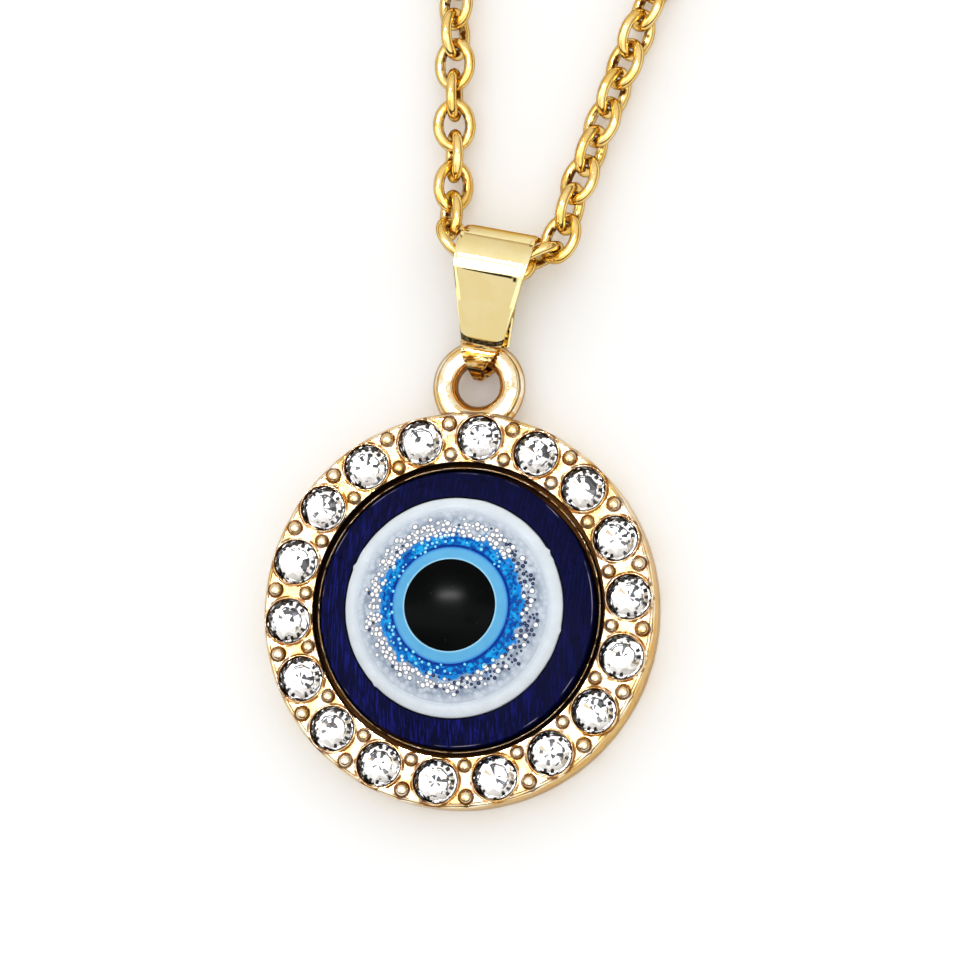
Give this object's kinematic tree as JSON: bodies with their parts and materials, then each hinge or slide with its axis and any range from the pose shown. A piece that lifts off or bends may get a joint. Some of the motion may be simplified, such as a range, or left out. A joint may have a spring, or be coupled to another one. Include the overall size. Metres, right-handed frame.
{
  "type": "evil eye pendant necklace",
  "caption": "Round evil eye pendant with a domed resin eye in a ring of faceted stones, with an eyelet, a snap bail and a cable chain with a clasp.",
  "frame": {"origin": "centre of the setting's flat back, which lies on the surface", "axes": "+Z out of the eye, up from the surface; +Y from the eye to the eyelet, bail and chain; +X to the right"},
  "size_m": [0.084, 0.198, 0.0048],
  "materials": {
    "cast_gold": "polished, pale gold plate on a casting",
    "bail_gold": "polished, pale gold plate on sheet",
    "chain_gold": "polished, warm gold plate on wire",
    "navy_resin": "clear gloss over dark streaked blue",
    "white_enamel": "gloss, raised and rounded",
    "glitter_resin": "clear gloss over silver glitter",
    "blue_glitter": "clear gloss over blue glitter",
    "sky_enamel": "gloss",
    "black_enamel": "gloss, slightly domed",
    "crystal": "faceted, foil behind"
  },
  "bodies": {
    "root": {"setting": "cast_gold", "eye_base": "navy_resin", "eye_white": "white_enamel", "eye_glitter": "glitter_resin", "eye_halo": "blue_glitter", "eye_iris": "sky_enamel", "eye_pupil": "black_enamel", "stone_01": "crystal", "stone_02": "crystal", "stone_03": "crystal", "stone_04": "crystal", "stone_05": "crystal", "stone_06": "crystal", "stone_07": "crystal", "stone_08": "crystal", "stone_09": "crystal", "stone_10": "crystal", "stone_11": "crystal", "stone_12": "crystal", "stone_13": "crystal", "stone_14": "crystal", "stone_15": "crystal", "stone_16": "crystal", "stone_17": "crystal", "stone_18": "crystal", "bail": "bail_gold", "chain_left": "chain_gold", "chain_right": "chain_gold", "clasp": "chain_gold"}
  },
  "joints": []
}
